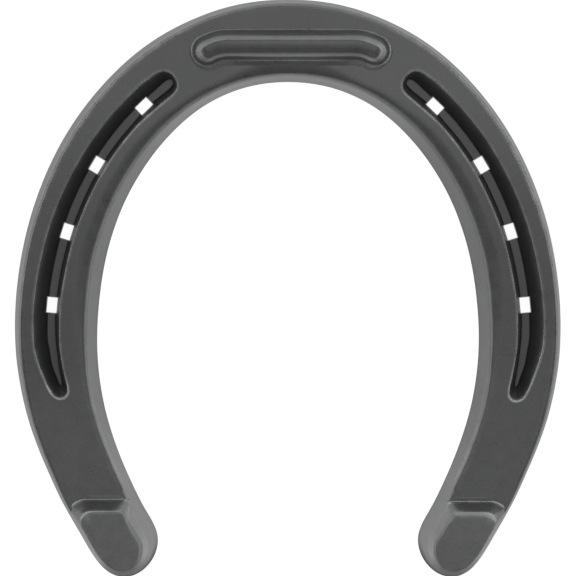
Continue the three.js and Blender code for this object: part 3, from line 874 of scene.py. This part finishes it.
# ------------------------------------------------------------------ heel calks
# Toe-facing side (x, y) at the web and at the top, marked at the listed points, and
# the outside distances between which each outline follows the branch-end wall.
CALK_BASE = [
    (38.0, -51.05), (38.35, -50.7), (39.0, -50.58), (43.5, -50.56), (47.0, -50.56),
    (49.2, -50.76), (50.8, -51.4), (51.9, -52.4)]
CALK_TOP = [
    (38.5, -55.3), (39.0, -54.2), (39.9, -53.54), (43.5, -53.43), (46.6, -53.43),
    (47.9, -53.66), (49.0, -54.4), (49.7, -55.6)]
CALK_MARKS = [0, 2, 5, 7]
CALK_COUNTS = [46, 40, 46, 6, 14, 30, 16, 6]
CALK_BASE_RUN, CALK_TOP_RUN = (160.3, 204.9), (164.6, 201.4)


def calk_loop(side, back, span, front, z):
    run = np.linspace(span[0] + back, span[1] - back, 34)
    foot = lut(FOOT_R if side > 0 else FOOT_L, run)
    wall = out_at(run, lean_at(z, lut(LEAN, run), foot))
    front = [(x, y - back) for x, y in front]
    marks = [wall[i] for i in (0, 12, 22, -1)] + [front[i] for i in CALK_MARKS]
    return marked(np.vstack([wall, front]), marks, CALK_COUNTS, 0.22)


def calk(side):
    back = 0.25 + 0.25 * side           # the +X calk sits a little further back
    base = calk_loop(side, back, CALK_BASE_RUN, CALK_BASE, WEB_Z)
    top = calk_loop(side, back, CALK_TOP_RUN, CALK_TOP, CALK_Z)
    base_n, top_n = normals_in(base), normals_in(top)
    base_x, base_y = base.T
    top_x, top_y = top.T

    # weights round the block: toe-facing side, its top edge, that edge's outer corner,
    # and the top edge toward the opening
    front = np.where(-base_n[:, 0] > 0, smoothstep(0.1, 0.55, -base_n[:, 1]),
                     smoothstep(0.35, 0.85, -base_n[:, 1]))
    front_top = smoothstep(-56.4, -54.6, top_y + back) * smoothstep(-0.2, 0.5, -top_n[:, 1])
    corner = smoothstep(46.0, 49.0, top_x) * smoothstep(-56.5, -55.0, top_y) * front_top
    inner = (smoothstep(-0.15, -0.6, -top_n[:, 0]) * smoothstep(-66.5, -63.5, top_y)
             * (1 - smoothstep(-58.5, -56.0, top_y) * 0.35))

    # bevel round the top
    wide = 0.28 + (0.45 + 0.3 * side) * front_top + 0.35 * corner + (0.52 - 0.2 * side) * inner
    steep = np.radians(46 - 7 * front_top - 5 * inner)
    room = np.minimum(room_inside(top), 9)
    wide = np.minimum(wide, 0.7 * np.minimum(room, blur_ring(room, np.ones(17) / 17)))
    wide = blur_ring(wide, gauss(12, 4.0))
    drop = wide * np.tan(steep)
    wall_top = base + (top - base) * ((CALK_Z - WEB_Z - drop) / (CALK_Z - WEB_Z))[:, None]
    flat_edge = wall_top + top_n * wide[:, None]
    flat_step = np.minimum(1.3, 0.45 * room_inside(flat_edge))[:, None]

    # flared foot on the toe side, kept within the web and sunk at its outer corner
    to_edge = np.sqrt(((base[:, None] - web_edge[None]) ** 2).sum(2).min(1))
    reach = front * np.minimum(1.25, 0.1 + 0.7 * to_edge)
    sunk = 0.45 * smoothstep(47.6, 49.2, base_x) * front
    keys = [
        lift(base + base_n * (0.06 - reach - 0.06 * front)[:, None], WEB_Z - 0.02 - sunk),
        lift(base + base_n * (0.03 - 0.38 * reach - 0.03 * front)[:, None],
             WEB_Z - 0.01 + 0.06 * front - 0.4 * sunk),
        lift(base - base_n * (0.015 * (1 - front))[:, None], WEB_Z + 0.12 * front),
        lift(wall_top, CALK_Z - drop),
        lift(flat_edge, CALK_Z),
        lift(flat_edge + normals_in(flat_edge) * flat_step, CALK_Z)]
    flat_round = 0.12 - 0.06 * inner
    rows, kinds = fillet_rows(
        keys,
        [0, 0.01 + 0.3 * front, 0.02 + 0.4 * front, 0.14 + 0.2 * front_top, flat_round, 0],
        [0, 0.01 + 0.2 * front, 0.02 + 0.55 * front, 0.12 + 0.1 * front_top, flat_round, 0],
        [0, 4, 6, 5, 5, 0], [1, 1, 6, 1, 2])

    out_corner = smoothstep(48.5, 50.5, base_x) * smoothstep(-54.5, -53.0, base_y) * front
    in_corner = (1 - smoothstep(38.6, 41.4, base_x)) * smoothstep(-62.0, -57.0, base_y)
    # painted shade: in the foot's hollow (the first rows), on the toe-facing wall, on the bevel
    # toward the opening and on the heel-facing wall
    hollow = ((1.6 + 0.6 * side) * front * smoothstep(0.0, 1.5, to_edge)
              * (1 - 0.8 * smoothstep(46.8, 49.2, base_x)))
    heel_face = smoothstep(0.55, 0.95, base_n[:, 1])
    painted_shade = []
    for i, row in enumerate(rows):
        z = row[:, 2].mean()
        on_wall = WEB_Z + 0.12 < z < CALK_Z - 0.6
        shade = (hollow * min(1.0, i / 4) if i < 9
                 else 0.7 * front * (1 - out_corner) * (1 - in_corner) * on_wall)
        shade = shade + 0.6 * inner * float(CALK_Z - 1.2 < z < CALK_Z - 0.02)
        painted_shade.append(shade + 1.3 * heel_face * float(z < CALK_Z - 0.4))
    # painted highlight on the top bevel, the outer corner, the inner-front corner and the foot
    # fillet
    top_highlight = 0.22 + 0.2 * front_top + 0.35 * corner - 0.2 * inner
    foot_highlight = (0.5 + 0.15 * side) * front + 0.5 * out_corner + 0.5 * in_corner * front
    wear = {0: 0.3 * out_corner, 2: foot_highlight, 3: top_highlight, 4: top_highlight * 0.7}

    block = Build()
    rows = [drifted(row) for row in mirrored(rows, side)]
    low, high = block.loft(rows, kinds, side > 0, wear, painted_shade)
    block.fill([high], True)
    block.fill([low, spur(block, side * SPUR_HEEL_X, SPUR_HEEL_Y)], False)
    return block


# ------------------------------------------------------------------ assembly
shoe_steel = steel("shoe_steel", seed=1)
grab_steel = steel("grab_steel", seed=2)
# the calk steel is the shoe steel with painted light on the calk tops
calk_steel = steel("calk_steel", seed=3, top_painted_light=1.24)

shoe = shoe_body().object("shoe_body_forged", shoe_steel)
punch(shoe)
toe_grab = grab_bar().object("toe_grab_bar", grab_steel)
right_calk = calk(1).object("calk_block_right", calk_steel)
left_calk = calk(-1).object("calk_block_left", calk_steel)

for piece, node, slot in (
    (shoe, "shoe_body", "shoe_steel"),
    (toe_grab, "toe_grab", "grab_steel"),
    (right_calk, "heel_calk_right", "calk_steel"),
    (left_calk, "heel_calk_left", "calk_steel"),
):
    piece.data.set_sharp_from_angle(angle=math.radians(32))
    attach(piece, "root")
    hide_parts(node)
    shading = piece.modifiers.new("shading", "WEIGHTED_NORMAL")
    shading.keep_sharp = True
    shading.weight = 60

# ------------------------------------------------------------------ floor
FLOOR_GLOW = 0.46        # light given to the steel
FLOOR_SEEN = 0.93        # extra emission that the camera sees
FLOOR_HALF, FLOOR_DROP = 3, -0.00005


def floor_paper():
    """A sweep that reads white, and lights the steel a little less than it shows.

    More light comes back off it inside the toe and between the branch ends.
    """
    material = bpy.data.materials.new("floor")
    graph = Graph(material, clear=False)
    surface = graph.tree.nodes["Principled BSDF"]
    surface.inputs["Base Color"].default_value = (0.45, 0.45, 0.45, 1)
    surface.inputs["Roughness"].default_value = 1.0
    surface.inputs["Specular IOR Level"].default_value = 0.0
    surface.inputs["Emission Color"].default_value = (1, 1, 1, 1)

    x, y, _ = graph.split(graph.node("ShaderNodeTexCoord").outputs["Object"])
    toeward = graph.math("MAXIMUM", y, 0.0)
    square = graph.add(graph.mul(x, x), graph.mul(toeward, toeward))
    radius = graph.math("SQRT", square, 0.0)
    inside = graph.ease(radius, (0.044, 0.052), to=(1.0, 0.0))
    extra = graph.add(graph.ease(y, (0.024, 0.046), to=(0.0, 0.42)),
                      graph.ease(y, (-0.052, -0.026), to=(0.34, 0.0)))
    extra = graph.add(graph.add(extra, 0.10), graph.ease(x, (-0.03, 0.03), to=(0.14, -0.02)))
    bounce = graph.mul(FLOOR_GLOW, graph.add(1.0, graph.mul(inside, extra)))
    # little comes back from beyond the heels
    bounce = graph.mul(bounce, graph.ease(y, (-0.0715, -0.0645), to=(0.3, 1.0)))
    camera_ray = graph.node("ShaderNodeLightPath").outputs["Is Camera Ray"]
    seen = graph.mul(camera_ray, FLOOR_SEEN)
    hidden = graph.mul(graph.sub(1.0, camera_ray), bounce)
    graph.link(graph.add(seen, hidden), surface.inputs["Emission Strength"])
    return material


floor_mesh = bpy.data.meshes.new("floor")
floor_corners = [(sx * FLOOR_HALF, sy * FLOOR_HALF, FLOOR_DROP)
                 for sx, sy in ((-1, -1), (1, -1), (1, 1), (-1, 1))]
floor_mesh.from_pydata(floor_corners, [], [(0, 1, 2, 3)])
floor = bpy.data.objects.new("floor", floor_mesh)
bpy.context.scene.collection.objects.link(floor)
floor_mesh.materials.append(floor_paper())

# ------------------------------------------------------------------ studio
# Soft studio: a dim ceiling, a darker ring round it and broad soft light low on the
# two sides and behind the toe, with little from the heel side. (height, level)
CEILING = [(0.0, 0.4), (0.35, 0.18), (0.62, 0.12), (0.84, 0.13), (0.95, 0.24), (1.0, 0.31)]
LOW_LIGHT = [(0.0, 1.5), (0.16, 1.1), (0.34, 0.55), (0.55, 0.16), (0.75, 0.0)]
ALL_ROUND, TOWARD_TOE, BOTH_SIDES = 0.52, 0.26, 0.46   # shares of the low light


def studio_world():
    world = bpy.data.worlds.new("studio")
    graph = Graph(world)
    x, y, z = graph.split(graph.node("ShaderNodeTexCoord").outputs["Generated"])
    flat = graph.add(graph.add(graph.mul(x, x), graph.mul(y, y)), 1e-5)
    toe_share = graph.math("DIVIDE", y, graph.math("SQRT", flat))
    side_share = graph.math("DIVIDE", graph.mul(x, x), flat)
    azimuth = graph.add(graph.add(ALL_ROUND, graph.mul(toe_share, TOWARD_TOE)),
                        graph.mul(side_share, BOTH_SIDES))
    low = graph.mul(graph.ramp(z, LOW_LIGHT, "EASE"), azimuth)
    level = graph.add(graph.ramp(z, CEILING, "EASE"), low)
    background = graph.node("ShaderNodeBackground")
    graph.link(level, background.inputs["Color"])
    output = graph.node("ShaderNodeOutputWorld")
    graph.link(background.outputs[0], output.inputs[0])
    return world


scene = bpy.context.scene
scene.world = studio_world()
scene.view_settings.view_transform = "Standard"

soft = bpy.data.lights.new("softbox", "AREA")
soft.shape = "DISK"
soft.size = 0.36
soft.energy = 0.17
softbox = bpy.data.objects.new("softbox", soft)
softbox.location = (0.02, 0.16, 0.62)
to_shoe = -Vector(softbox.location)
softbox.rotation_euler = to_shoe.to_track_quat("-Z", "Y").to_euler()
scene.collection.objects.link(softbox)

# Looks straight down from far off; the view is as wide as the shoe is long and its
# centre is a hair to +X of the shoe's middle.
CAMERA_Z = 6.0
CAMERA_X = 0.0359376 * MM
SENSOR = 36.0
camera_data = bpy.data.cameras.new("camera")
camera = bpy.data.objects.new("camera", camera_data)
scene.collection.objects.link(camera)
scene.camera = camera
camera_data.sensor_width = SENSOR
camera_data.lens = SENSOR / (2 * HALF_PLAN * MM) * CAMERA_Z
camera_data.clip_start = 0.5
camera_data.clip_end = 40
camera.location = (CAMERA_X, 0, CAMERA_Z)
